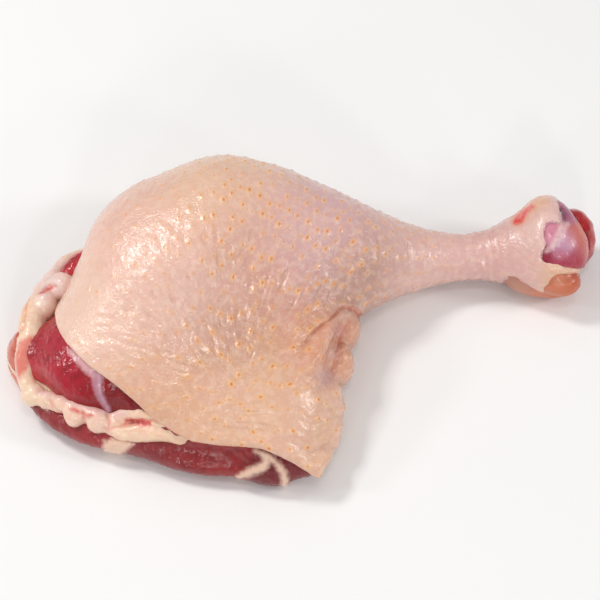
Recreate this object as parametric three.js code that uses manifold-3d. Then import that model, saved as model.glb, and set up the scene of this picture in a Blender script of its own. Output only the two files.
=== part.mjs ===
// A raw duck leg lying skin side up: thigh to the left, drumstick pointing along +X to the cut hock joint.
// Millimetres, +Z up, +X towards the hock, -Y towards the cook; the origin is the middle of the base.
//
// Flesh has no straight edges, so each piece is a field: a function of (x, y, z) that is negative inside
// the piece and close to the distance from its surface. A net of cells turns a field into a closed mesh,
// and manifold-3d then cuts neighbouring pieces apart.
import * as THREE from "three";
import { mergeVertices } from "three/addons/utils/BufferGeometryUtils.js";
import Module from "manifold-3d";

const wasm = await Module();
wasm.setup();

// ---- Driving dimensions -------------------------------------------------------------------------------
const SKIN = 2.6; // skin with the fat that lines it
const GAP = 0.3; // clearance between neighbouring pieces
const SEAM_FAT = 2.4; // fat between the two thigh muscles
const CALF_END = 66; // where the drumstick's flesh ends, short of the hock
const HEM = 4; // the skin stops this far above the base under the thigh
const WRAP_FROM = 20; // beyond this the skin goes right round the drumstick
const AXIS_Y = 17; // the drumstick lies over this line
const BOARD_TILT = 55; // slope of the board that the knife's lines are drawn on, in degrees
const PAD_TOP = 16.8; // up the board, where the cartilage gives way to the heel pad
const LEG_CELL = 8.7; // cell sizes of the nets
const FAT_CELL = 5;
const BONE_CELL = 3.9;
const HOCK_CELL = 5;
const SETTLE = 1.5; // how far a net's vertex may move to reach the surface
const MIDDLE = new THREE.Vector3(2.195, -9.85, 0); // the middle of the base, in the coordinates used below

// ---- Fields -------------------------------------------------------------------------------------------
const { min, max, abs, hypot, cos, sin, exp } = Math;
const { smoothstep, clamp, degToRad } = THREE.MathUtils;

// Smooth union: fields run into each other over a width of k.
const melt =
  (k, ...fields) =>
  (x, y, z) =>
    fields
      .map((field) => field(x, y, z))
      .reduce((a, b) => {
        const h = max(k - abs(a - b), 0) / k;
        return min(a, b) - (h * h * k) / 4;
      });

const swell = (field, by) => (x, y, z) => field(x, y, z) - by;
const within = (field, limit) => (x, y, z) => max(field(x, y, z), limit(x, y, z));

// An ellipsoid, turned about the vertical by some degrees.
function lobe([cx, cy, cz], [rx, ry, rz], turn = 0) {
  const c = cos(degToRad(turn));
  const s = sin(degToRad(turn));
  return (x, y, z) => {
    const u = (x - cx) * c + (y - cy) * s;
    const v = (y - cy) * c - (x - cx) * s;
    const w = z - cz;
    const reach = hypot(u / rx, v / ry, w / rz);
    const slope = hypot(u / rx ** 2, v / ry ** 2, w / rz ** 2);
    return (reach * (reach - 1)) / max(slope, 1e-6);
  };
}

// A rope of flesh along a smooth path; each station is [x, y, z, radius].
function rope(stations, steps = 30) {
  const path = new THREE.CatmullRomCurve3(stations.map(([x, y, z]) => new THREE.Vector3(x, y, z)));
  const radii = new THREE.SplineCurve(stations.map(([, , , r], i) => new THREE.Vector2(i, r)));
  const links = Array.from({ length: steps }, (_, i) => ({
    line: new THREE.Line3(path.getPoint(i / steps), path.getPoint((i + 1) / steps)),
    from: radii.getPoint(i / steps).y,
    to: radii.getPoint((i + 1) / steps).y,
  }));
  const near = new THREE.Vector3();
  return (x, y, z) => {
    const point = new THREE.Vector3(x, y, z);
    return min(
      ...links.map(({ line, from, to }) => {
        const t = line.closestPointToPointParameter(point, true);
        return line.at(t, near).distanceTo(point) - from - (to - from) * t;
      }),
    );
  };
}

// A round limb along X; each station is [x, y, z, radius].
function limb(stations) {
  const xs = stations.map(([x]) => x);
  const values = stations.flatMap(([, ...rest]) => rest);
  const shape = new THREE.CubicInterpolant(xs, values, 3, new Float32Array(3));
  return (x, y, z) => {
    const along = clamp(x, xs[0], xs[xs.length - 1]);
    const [cy, cz, r] = shape.evaluate(along);
    return hypot(x - along, y - cy, z - cz) - r;
  };
}

// ---- The leg's form -----------------------------------------------------------------------------------
const drumstick = limb([
  [-48, 11, 20, 19.5],
  [-30, 16.5, 21.5, 26.5],
  [-10, 17.3, 21.5, 24.8],
  [6, 15, 20, 21],
  [22, 13, 17, 17],
  [34, 15.5, 13, 12],
  [46, 17.2, 11.2, 8.8],
  [58, 18, 10.8, 8],
  [68, 19, 12.5, 10],
]);
const knee = melt(8, lobe([-45, -2, 20], [28, 27.5, 23.5], 38), lobe([-38, 9.5, 20], [26, 31.5, 24]));
const hip = lobe([-60, -21, 15], [23, 23, 17], -30);
const outerThigh = lobe([-29, -27, 14], [38, 31, 20], -14);
const innerBend = lobe([-8, -10, 14], [23, 24, 20]);
const backFlap = lobe([-7, -41, 11], [17, 24, 13.5]);
const hock = melt(5, lobe([81.8, 19.8, 15], [12, 16.4, 16.8]), lobe([74.6, 11.5, 9.2], [6.3, 6, 7]));

// The shin bone, from the knee to the cartilage that caps it at the hock.
const shaft = limb([
  [-16, 14, 20, 6.5],
  [4, 15, 18, 4.2],
  [34, 16, 13, 3.8],
  [60, 18, 11.2, 4],
  [74, 18.5, 14, 5.5],
]);
const tilt = degToRad(BOARD_TILT);
const upBoard = (y, z) => y * sin(tilt) + z * cos(tilt);
const cartilage = within(
  melt(3, lobe([84, 15.5, 17.2], [10.2, 10.8, 11.8]), lobe([81.6, 21.6, 16.4], [8.8, 8.8, 11.4])),
  (x, y, z) => PAD_TOP - upBoard(y, z),
);
const heelPad = melt(
  4,
  lobe([83.4, 12.8, 8.7], [9.3, 8.4, 8.6]),
  lobe([75.6, 12, 8.6], [6.8, 5.6, 6.8]),
  lobe([68.2, 12.8, 9.8], [4, 3.4, 3.6]),
);
const hockMeat = lobe([90.2, 23.2, 13.2], [8, 10.2, 11]);

// Loose skin gathers into rolls where the leg bends, from the bend down to the tip of the flap.
const bendRolls = [
  lobe([10.5, -12, 13], [8.5, 8, 12]),
  lobe([8.5, -26, 12], [8, 6.5, 11]),
  lobe([4, -40, 10], [9.5, 9, 10]),
  lobe([3.9, -47.5, 9], [8.9, 8, 9]),
  lobe([0.3, -55, 8], [8.8, 11, 8.2], 12),
];

const thigh = melt(10, knee, hip, outerThigh, innerBend, backFlap);
const leg = melt(2.2, melt(8, melt(14, drumstick, thigh), hock), ...bendRolls);

// The muscles swell out past the cut edge of the skin on the hip side.
const outerBulge = lobe([-66, -25, 15], [19.5, 17, 11], -42);
const innerBulge = melt(
  5,
  lobe([-53.5, -17, 6.5], [41, 37, 9.5]),
  lobe([-28, -36, 6], [36, 26, 9], -8),
  lobe([-9, -51, 6], [12.5, 14.5, 8.5]),
  lobe([-84, -20, 10.5], [10, 12, 9]),
);
const hipMuscle = lobe([-73, 8.4, 17.2], [10, 7.5, 7.4], 50);

// Height of the seam between the outer and the inner thigh muscle: level under the thigh, climbing over the
// hip and along the front, and running out through the base at the knee.
function seamHeight(x, y) {
  const hipClimb = 7 * exp(-((x + 84) ** 2 + (y - 4) ** 2) / 300);
  const frontClimb = (3.4 + 5.6 * smoothstep(x, -42, -27)) * smoothstep(-y, 24, 42);
  const runOut = 24 * smoothstep(x, -8, 18) * smoothstep(y, -52, -30);
  return 9.5 + hipClimb + frontClimb - runOut;
}

// The roll of fat that lies along the seam where the skin leaves it bare, and the shelf of fat that fills
// the step from it up to the edge of the skin.
const fatRoll = rope([
  [-61, 22, 13, 3],
  [-71, 15.5, 16.4, 3],
  [-77.8, 10, 17.6, 3],
  [-82, 3.5, 17.8, 3.2],
  [-84.2, -4, 17, 3.9],
  [-85.6, -12, 15.8, 4.9],
  [-86.6, -21, 14.4, 4.8],
  [-86, -30, 12.6, 4.5],
  [-81.5, -37.4, 11.8, 3.8],
  [-72, -42.4, 12, 4],
  [-62, -46, 11.6, 4],
  [-54.5, -49.6, 11.2, 3.5],
  [-48.2, -50, 12, 3.5],
  [-41.5, -51, 13, 3.2],
  [-34, -52.5, 13, 3],
]);
const fatShelf = rope([
  [-56, -45.2, 14, 3],
  [-49.5, -46.2, 16, 3.2],
  [-44.5, -47.8, 16.6, 3.3],
  [-36, -50, 16.4, 3.4],
  [-30, -50.6, 15.5, 3.2],
]);

// The knife's lines through the skin, drawn on a board that slopes to face the front and top of the leg:
// distances along X and up the board. The first runs round the hip, along the front of the thigh and back
// up at the flap.
const SKIN_CUT = [
  [-62, 60], [-65.5, 38], [-68.5, 23], [-74, 15.4], [-78.4, 5], [-76.2, -3], [-66.3, -13.1],
  [-52.2, -23.9], [-40, -33.6], [-32, -37.2], [-14.6, -38.4], [-3.5, -42.7], [4.6, -47.8], [10, -42],
];
// The second runs back from below the hock, out along a lip round the heel pad, and round the cartilage.
const COLLAR_CUT = [
  [66.6, -60], [66.6, -10], [66.9, 9.5], [67.8, 13.2], [75.5, 10.6], [80.4, 8.4], [82.2, 14.2],
  [92, 15], [91.6, 17], [80, 18.4], [78.6, 22], [79.4, 28.8], [83.8, 31], [84.6, 34.4], [85.5, 60],
];

// ---- From fields to solids ----------------------------------------------------------------------------
// The cells shrink with the leg, so that the thin shank gets as many sides as the thigh.
const taper = (x) => 1 - 0.5 * smoothstep(x, -15, 42) + 0.2 * smoothstep(x, 60, 80);
const SHORTEST_STEP = 0.75; // along the leg, as a part of the cell

function gridOf({ low, high, cell, tapered = false }) {
  const count = (from, to) => Math.ceil((to - from) / cell) + 1;
  const xs = [low[0]];
  while (xs[xs.length - 1] < high[0]) {
    const x = xs[xs.length - 1];
    xs.push(x + cell * (tapered ? max(taper(x), SHORTEST_STEP) : 1));
  }
  const [ny, nz] = [count(low[1], high[1]), count(low[2], high[2])];
  const point = (i, j, k) => {
    const s = tapered ? taper(xs[i]) : 1;
    return [xs[i], AXIS_Y + (low[1] + j * cell - AXIS_Y) * s, (low[2] + k * cell) * s];
  };
  return { size: [xs.length, ny, nz], point };
}

// Where two corners across a face of the grid are inside and the other two outside, the surface would touch
// itself along a line. The outside corner nearest to the surface is then moved just inside it.
function closePinches(values, [nx, ny, nz]) {
  const steps = [1, nx, nx * ny];
  const counts = [nx, ny, nz];
  let pinched = true;
  while (pinched) {
    pinched = false;
    for (let here = 0; here < values.length; here++) {
      const at = [here % nx, Math.floor(here / nx) % ny, Math.floor(here / (nx * ny))];
      for (const [a, b] of [[0, 1], [1, 2], [2, 0]]) {
        if (at[a] + 1 >= counts[a] || at[b] + 1 >= counts[b]) continue;
        const face = [here, here + steps[a], here + steps[a] + steps[b], here + steps[b]];
        const [p, q, r, s] = face.map((corner) => values[corner] < 0);
        if (p !== r || q !== s || p === q) continue;
        const outside = face.filter((corner) => values[corner] >= 0);
        values[outside.sort((m, n) => values[m] - values[n])[0]] = -0.1;
        pinched = true;
      }
    }
  }
}

// A surface net: one vertex in each cell that the surface crosses, at the mean of its edge crossings, and
// one quad round each grid edge that the surface crosses.
function net(field, grid) {
  const [nx, ny, nz] = grid.size;
  const index = (i, j, k) => i + nx * (j + ny * k);
  const points = [];
  const values = [];
  for (let k = 0; k < nz; k++)
    for (let j = 0; j < ny; j++)
      for (let i = 0; i < nx; i++) {
        const p = grid.point(i, j, k);
        points.push(p);
        values.push(field(...p));
      }
  closePinches(values, grid.size);
  const corners = Array.from({ length: 8 }, (_, c) => [c & 1, (c >> 1) & 1, c >> 2]);
  const edges = corners.flatMap((_, a) => [1, 2, 4].filter((bit) => !(a & bit)).map((bit) => [a, a | bit]));
  const positions = [];
  const vertexOf = new Map();
  for (let k = 0; k < nz - 1; k++)
    for (let j = 0; j < ny - 1; j++)
      for (let i = 0; i < nx - 1; i++) {
        const cell = corners.map(([a, b, c]) => index(i + a, j + b, k + c));
        const mean = [0, 0, 0];
        let crossings = 0;
        for (const [a, b] of edges) {
          const [va, vb] = [values[cell[a]], values[cell[b]]];
          if (va < 0 === vb < 0) continue;
          const t = va / (va - vb);
          const [pa, pb] = [points[cell[a]], points[cell[b]]];
          for (let d = 0; d < 3; d++) mean[d] += pa[d] + (pb[d] - pa[d]) * t;
          crossings++;
        }
        if (!crossings) continue;
        vertexOf.set(index(i, j, k), positions.length / 3);
        positions.push(...mean.map((sum) => sum / crossings));
      }
  const triangles = [];
  const steps = [1, nx, nx * ny];
  for (let k = 1; k < nz - 1; k++)
    for (let j = 1; j < ny - 1; j++)
      for (let i = 1; i < nx - 1; i++) {
        const here = index(i, j, k);
        for (let axis = 0; axis < 3; axis++) {
          const inside = values[here] < 0;
          if (inside === values[here + steps[axis]] < 0) continue;
          const [u, v] = [steps[(axis + 1) % 3], steps[(axis + 2) % 3]];
          const ring = [here - u - v, here - v, here, here - u].map((cell) => vertexOf.get(cell));
          const [a, b, c, d] = inside ? ring : [...ring].reverse();
          triangles.push(a, b, c, a, c, d);
        }
      }
  for (let v = 0; v < positions.length; v += 3) settle(field, positions, v);
  const geometry = new THREE.BufferGeometry();
  geometry.setAttribute("position", new THREE.Float32BufferAttribute(positions, 3));
  geometry.setIndex(triangles);
  return geometry;
}

// Moves one vertex along the field's slope onto the surface, by at most SETTLE.
const PROBE = 0.1;
function settle(field, positions, v) {
  const [x, y, z] = positions.slice(v, v + 3);
  const value = field(x, y, z);
  const nearby = [field(x + PROBE, y, z), field(x, y + PROBE, z), field(x, y, z + PROBE)];
  const slope = nearby.map((f) => (f - value) / PROBE);
  const steepness = max(hypot(...slope), 0.3);
  const step = clamp(value / steepness, -SETTLE, SETTLE);
  for (let d = 0; d < 3; d++) positions[v + d] -= (step * slope[d]) / steepness;
}

// A closed net as a solid that can be cut.
function solid(geometry) {
  const bare = new THREE.BufferGeometry();
  bare.setAttribute("position", geometry.getAttribute("position"));
  if (geometry.getIndex()) bare.setIndex(geometry.getIndex());
  const merged = mergeVertices(bare, 1e-4);
  const mesh = new wasm.Mesh({
    numProp: 3,
    vertProperties: merged.getAttribute("position").array,
    triVerts: new Uint32Array(merged.getIndex().array),
  });
  return new wasm.Manifold(mesh);
}

// ---- The nets of the pieces, before they cut each other -------------------------------------------------
const legGrid = gridOf({ low: [-108, -108, -20], high: [108, 62, 62], cell: LEG_CELL, tapered: true });
const fatGrid = gridOf({ low: [-100, -66, -3], high: [-24, 32, 36], cell: FAT_CELL });
const boneGrid = gridOf({ low: [-30, -1, -1], high: [102, 38, 38], cell: BONE_CELL });
const hockGrid = gridOf({ low: [57, -4, -9], high: [106, 44, 38], cell: HOCK_CELL });

const underSkin = within(swell(leg, -SKIN - GAP), (x) => x - CALF_END);
const fleshNet = net(melt(4, underSkin, outerBulge, innerBulge, hipMuscle), legGrid);
const rollNet = net(melt(1.5, fatRoll, fatShelf), fatGrid);
const boneNet = net(melt(4, shaft, cartilage), boneGrid);
const padNet = net(heelPad, hockGrid);
const hockNet = net(hockMeat, hockGrid);

// The layer of fat between the two thigh muscles.
function seamSheet(thickness) {
  const sheet = new THREE.BoxGeometry(150, 150, thickness, 15, 15, 1);
  sheet.translate(-40, -15, 0);
  const position = sheet.getAttribute("position");
  for (let i = 0; i < position.count; i++)
    position.setZ(i, position.getZ(i) + seamHeight(position.getX(i), position.getY(i)));
  return solid(sheet);
}

// The same net, moved out by the gap, to cut the neighbours with.
function cutter(geometry) {
  const grown = geometry.clone();
  grown.computeVertexNormals();
  const position = grown.getAttribute("position");
  const normal = grown.getAttribute("normal");
  for (let i = 0; i < position.count; i++) {
    const at = new THREE.Vector3().fromBufferAttribute(position, i);
    at.addScaledVector(new THREE.Vector3().fromBufferAttribute(normal, i), GAP);
    position.setXYZ(i, ...at);
  }
  return solid(grown);
}

// Everything under the hem of the skin, as far along as the skin is open below.
function underHem() {
  const block = new THREE.BoxGeometry(140, 140, 60);
  block.translate(WRAP_FROM - 70, -20, HEM - 30);
  return solid(block);
}

// The outside of the leg, trimmed to the knife's lines and the hem.
function skinBlank() {
  const cut = new THREE.Shape();
  cut.moveTo(...SKIN_CUT[0]);
  cut.splineThru(SKIN_CUT.slice(1).map(([x, up]) => new THREE.Vector2(x, up)));
  cut.lineTo(60, -30);
  cut.lineTo(...COLLAR_CUT[0]);
  cut.splineThru(COLLAR_CUT.slice(1).map(([x, up]) => new THREE.Vector2(x, up)));
  const prism = new THREE.ExtrudeGeometry(cut, { depth: 200, bevelEnabled: false, curveSegments: 2 });
  prism.translate(0, 0, -100);
  const along = new THREE.Vector3(1, 0, 0);
  const up = new THREE.Vector3(0, sin(tilt), cos(tilt));
  prism.applyMatrix4(new THREE.Matrix4().makeBasis(along, up, along.clone().cross(up)));
  return solid(net(leg, legGrid)).intersect(solid(prism)).subtract(underHem());
}

// ---- Cutting the pieces apart ---------------------------------------------------------------------------
const air = new THREE.BoxGeometry(300, 300, 100);
air.translate(0, 0, 50);
const aboveBoard = solid(air);

// A body less its neighbours and what is below the board: the separate solids left, largest first.
const cutPiece = (body, ...cutters) =>
  cutters
    .reduce((a, b) => a.subtract(b), body.intersect(aboveBoard))
    .decompose()
    .sort((a, b) => b.volume() - a.volume());

const meat = solid(fleshNet);
const bone = solid(boneNet);
const [pad] = cutPiece(solid(padNet), cutter(boneNet));
const [hockFlesh] = cutPiece(solid(hockNet), cutter(boneNet), cutter(padNet));
const [seamFat] = cutPiece(solid(rollNet).add(seamSheet(SEAM_FAT).intersect(meat)));
const [outerMuscle, innerMuscle] = cutPiece(
  meat,
  cutter(rollNet),
  seamSheet(SEAM_FAT + 2 * GAP),
  cutter(boneNet),
);
const [skin] = cutPiece(
  skinBlank(),
  cutter(fleshNet),
  cutter(rollNet),
  cutter(boneNet),
  cutter(padNet),
  cutter(hockNet),
);

// ---- The assembled leg ----------------------------------------------------------------------------------
function piece(name, body, colour, roughness) {
  const { vertProperties, triVerts } = body.getMesh();
  const geometry = new THREE.BufferGeometry();
  geometry.setAttribute("position", new THREE.Float32BufferAttribute(vertProperties, 3));
  geometry.setIndex(new THREE.Uint32BufferAttribute(triVerts, 1));
  geometry.computeVertexNormals();
  const material = new THREE.MeshStandardMaterial({ color: colour, roughness, metalness: 0 });
  const mesh = new THREE.Mesh(geometry, material);
  mesh.name = name;
  return mesh;
}

const duckLeg = new THREE.Group();
duckLeg.add(
  piece("skin", skin, 0xe6bfa8, 0.42),
  piece("outer_muscle", outerMuscle, 0x9c2430, 0.3),
  piece("inner_muscle", innerMuscle, 0x8c3438, 0.35),
  piece("seam_fat", seamFat, 0xefd9be, 0.4),
  piece("leg_bone", bone, 0xc99aae, 0.3),
  piece("tendon_pad", pad, 0xcf8d70, 0.4),
  piece("hock_flesh", hockFlesh, 0xa53a44, 0.3),
);
for (const mesh of duckLeg.children) mesh.position.sub(MIDDLE);

export default duckLeg;
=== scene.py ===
import bpy
import numpy as np
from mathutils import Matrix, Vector, noise
from mathutils.kdtree import KDTree


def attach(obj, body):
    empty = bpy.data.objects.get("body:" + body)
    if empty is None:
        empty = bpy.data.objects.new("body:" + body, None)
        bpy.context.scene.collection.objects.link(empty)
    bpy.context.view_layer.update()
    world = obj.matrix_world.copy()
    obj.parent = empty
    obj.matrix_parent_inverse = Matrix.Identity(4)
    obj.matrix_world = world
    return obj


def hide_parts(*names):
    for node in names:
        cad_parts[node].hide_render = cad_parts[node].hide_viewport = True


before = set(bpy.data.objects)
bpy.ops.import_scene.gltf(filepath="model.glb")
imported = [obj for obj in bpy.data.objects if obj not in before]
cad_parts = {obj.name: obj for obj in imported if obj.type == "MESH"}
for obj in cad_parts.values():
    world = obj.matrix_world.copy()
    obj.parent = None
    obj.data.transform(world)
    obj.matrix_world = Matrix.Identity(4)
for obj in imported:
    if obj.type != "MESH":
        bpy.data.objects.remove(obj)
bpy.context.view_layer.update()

# ==== The shin bone ======================================================================================
# One bone from the knee to the hock, capped by cartilage: two rounded knuckles of smooth, wet, bluish pink
# gristle, bloodier towards its edge. It grew there, and shows only where the foot was cut off.

MIDDLE = np.array([2.195, -9.85, 0.0])  # the middle of the base, in the axes used for the forms
MM = 0.001


def lobe(centre, radii, turn=0.0):
    """The field of an ellipsoid turned about the vertical: negative inside, near the distance outside."""
    c, s = np.cos(np.radians(turn)), np.sin(np.radians(turn))

    def field(x, y, z):
        u = (x - centre[0]) * c + (y - centre[1]) * s
        v = (y - centre[1]) * c - (x - centre[0]) * s
        w = z - centre[2]
        a, b, d = radii
        reach = np.sqrt((u / a) ** 2 + (v / b) ** 2 + (w / d) ** 2)
        slope = np.sqrt((u / a**2) ** 2 + (v / b**2) ** 2 + (w / d**2) ** 2)
        return reach * (reach - 1) / np.maximum(slope, 1e-6)

    return field


def limb(*stations):
    """The field of a round limb along X; each station is x, y, z, radius."""
    table = np.array(stations, float)
    xs, shape = table[:, 0], table[:, 1:].T
    secants = np.diff(shape) / np.diff(xs)
    slopes = (np.c_[secants[:, :1], secants] + np.c_[secants, secants[:, -1:]]) / 2

    def field(x, y, z):
        along = np.clip(x, xs[0], xs[-1])
        i = np.clip(np.searchsorted(xs, along, side="right") - 1, 0, len(xs) - 2)
        width = xs[i + 1] - xs[i]
        t = (along - xs[i]) / width
        rise = 3 * t**2 - 2 * t**3
        start, end = (t**3 - 2 * t**2 + t) * width, (t**3 - t**2) * width
        cy, cz, r = (
            v[i] + (v[i + 1] - v[i]) * rise + m[i] * start + m[i + 1] * end for v, m in zip(shape, slopes)
        )
        return np.sqrt((x - along) ** 2 + (y - cy) ** 2 + (z - cz) ** 2) - r

    return field


def blend_min(k, a, b):
    """The lower of two values, rounded over a width of k where they meet."""
    h = np.maximum(k - np.abs(a - b), 0) / k
    return np.minimum(a, b) - h * h * k / 4


def blend_max(k, a, *others):
    for b in others:
        a = -blend_min(k, -a, -b)
    return a


def melt(k, *fields):
    """Fields that run into each other over a width of k."""

    def field(x, y, z):
        joined = fields[0](x, y, z)
        for other in fields[1:]:
            joined = blend_min(k, joined, other(x, y, z))
        return joined

    return field


def net(field, low, high, cell):
    """Points and four-sided faces of a field's zero surface: a point in each cell that it crosses."""
    low = np.array(low, float)
    counts = np.ceil((np.array(high) - low) / cell).astype(int) + 1
    x, y, z = (low[d] + cell * np.arange(counts[d]) for d in range(3))
    values = field(x[:, None, None], y[None, :, None], z[None, None, :])
    inside = values < 0
    strides = np.array([counts[1] * counts[2], counts[2], 1])
    rings, crossings = [], []
    for axis in range(3):
        ahead = np.eye(3, dtype=int)[axis]
        changed = np.diff(inside, axis=axis)
        here = np.argwhere(changed)
        there = here + ahead
        a, b = values[tuple(here.T)], values[tuple(there.T)]
        crossings.append(low + cell * (here + ahead * (a / (a - b))[:, None]))
        flat = here @ strides
        u, v = strides[(axis + 1) % 3], strides[(axis + 2) % 3]
        ring = np.stack([flat - u - v, flat - v, flat, flat - u], axis=1)
        rings.append(np.where((a < 0)[:, None], ring, ring[:, ::-1]))
    faces = np.concatenate(rings)
    crossings = np.repeat(np.concatenate(crossings), 4, axis=0)
    faces = np.unique(faces, return_inverse=True)[1].reshape(-1, 4)
    shares = np.bincount(faces.ravel())
    points = [np.bincount(faces.ravel(), weights=crossings[:, d]) / shares for d in range(3)]
    return settle(field, np.stack(points, axis=1)), faces


PROBE = 0.02
LONGEST_STEP = 0.5


def slope_of(field, points):
    """A field's value and gradient at some points."""
    value = field(*points.T)
    steps = [field(*(points + PROBE * axis).T) - value for axis in np.eye(3)]
    return value, np.stack(steps, axis=1) / PROBE


def settle(field, points, rounds=3):
    """Moves points along a field's slope onto its surface."""
    for _ in range(rounds):
        value, slope = slope_of(field, points)
        steepness = np.maximum(np.linalg.norm(slope, axis=1), 0.3)
        step = np.clip(value / steepness, -LONGEST_STEP, LONGEST_STEP)
        points = points - slope * (step / steepness)[:, None]
    return points


def ripple(points, size, seed=0):
    """Smooth noise from about -1 to 1; size is the width of its swells, one number or one for each axis."""
    shifted = points / size + 17.31 * seed
    return np.array([noise.noise(p) for p in shifted.tolist()])


def normals_of(points, faces):
    """Outward unit normals at the points of a net."""
    a, b, c, d = (points[faces[:, k]] for k in range(4))
    across = np.cross(c - a, d - b)
    total = np.zeros_like(points)
    for k in range(4):
        for axis in range(3):
            total[:, axis] += np.bincount(faces[:, k], weights=across[:, axis], minlength=len(points))
    return total / np.maximum(np.linalg.norm(total, axis=1), 1e-9)[:, None]


def raised(points, faces, height):
    """The points of a net moved out along their normals."""
    return points + normals_of(points, faces) * height[:, None]


# Places seen from the front and above are given on a board tilted to face them: along X, and up the board.
BOARD_TILT = np.radians(55)


def board_height(y, z):
    return y * np.sin(BOARD_TILT) + z * np.cos(BOARD_TILT)


def up_board(points):
    return board_height(points[:, 1], points[:, 2])


TRACE = 1e-5  # of each colour, everywhere, so that no place is left without one


def shades(points, table):
    """Colours that fade into each other; each row is a place on the board, its reach and its colour."""
    x, up = points[:, 0], up_board(points)
    falls = [np.exp(-((x - u) ** 2 + (up - v) ** 2) / (2 * r * r)) for u, v, r, _ in table]
    weights = np.array(falls) + TRACE
    colours = np.array([linear(*colour) for *_, colour in table])
    return (weights.T @ colours) / weights.sum(0)[:, None]


def smooth_line(corners, steps):
    """Points along a smooth curve through some corners."""
    s = np.array(corners, float)
    s = np.vstack([2 * s[0] - s[1], s, 2 * s[-1] - s[-2]])
    line = []
    for a, b, c, d in zip(s, s[1:], s[2:], s[3:]):
        for t in np.arange(steps) / steps:
            bend = (2 * a - 5 * b + 4 * c - d) * t**2 + (3 * b - a - 3 * c + d) * t**3
            line.append(b + ((c - a) * t + bend) / 2)
    return np.array([*line, s[-2]])


def off_strips(points, *strips):
    """Distance on the board outside some strips; each station of a strip is x, height and half width."""
    place = np.stack([points[:, 0], up_board(points)], axis=1)
    nearest = np.full(len(points), np.inf)
    for stations in strips:
        path = smooth_line(stations, 4)
        for a, b in zip(path, path[1:]):
            d = b - a
            t = np.clip((place - a[:2]) @ d[:2] / (d[:2] @ d[:2]), 0, 1)
            off = np.linalg.norm(place - a[:2] - t[:, None] * d[:2], axis=1) - a[2] - t * d[2]
            nearest = np.minimum(nearest, off)
    return nearest


def make_piece(node, points, faces, finish, marks, border=()):
    """A smooth mesh that stands for a CAD node, with its finish and the marks that the finish reads."""
    mesh = bpy.data.meshes.new(node + "_flesh")
    on_table = np.maximum(points, (-np.inf, -np.inf, 0))
    mesh.from_pydata(((on_table - MIDDLE) * MM).tolist(), [], [*faces.tolist(), *border])
    mesh.shade_smooth()
    kinds = {1: ("FLOAT", "value"), 3: ("FLOAT_VECTOR", "vector"), 4: ("FLOAT_COLOR", "color")}
    for name, values in marks.items():
        kind, key = kinds[values.size // len(points)]
        mesh.attributes.new(name, kind, "POINT").data.foreach_set(key, values.ravel())
    mesh.materials.append(finish.material)
    made = bpy.data.objects.new(node + "_dressed", mesh)
    bpy.context.scene.collection.objects.link(made)
    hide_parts(node)
    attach(made, "root")
    return made


class Socket:
    """An output of a shader node; sums and products of sockets add Math nodes."""

    def __init__(self, finish, made, name=0):
        self.finish, self.made = finish, made
        self.output = made.outputs[name] if made.outputs else None

    def part(self, name):
        return Socket(self.finish, self.made, name)

    def sum(self, operation, a, b):
        return self.finish.node("Math", {"operation": operation}, {0: a, 1: b})

    def __add__(self, other):
        return self.sum("ADD", self, other)

    __radd__ = __add__

    def __sub__(self, other):
        return self.sum("SUBTRACT", self, other)

    def __rsub__(self, other):
        return self.sum("SUBTRACT", other, self)

    def __mul__(self, other):
        return self.sum("MULTIPLY", self, other)

    __rmul__ = __mul__

    def under(self, edge, softness):
        """1 where the value is below edge, falling smoothly to 0 across the softness."""
        reach = {"Value": self, "From Min": edge + softness / 2, "From Max": edge - softness / 2}
        return self.finish.node("MapRange", {"interpolation_type": "SMOOTHSTEP"}, reach)


def linear(red, green, blue):
    """A colour given as 0 to 255 on a screen, as the shader wants it."""
    screen = np.array([red, green, blue]) / 255
    return (*np.where(screen > 0.04045, ((screen + 0.055) / 1.055) ** 2.4, screen / 12.92), 1.0)


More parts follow.
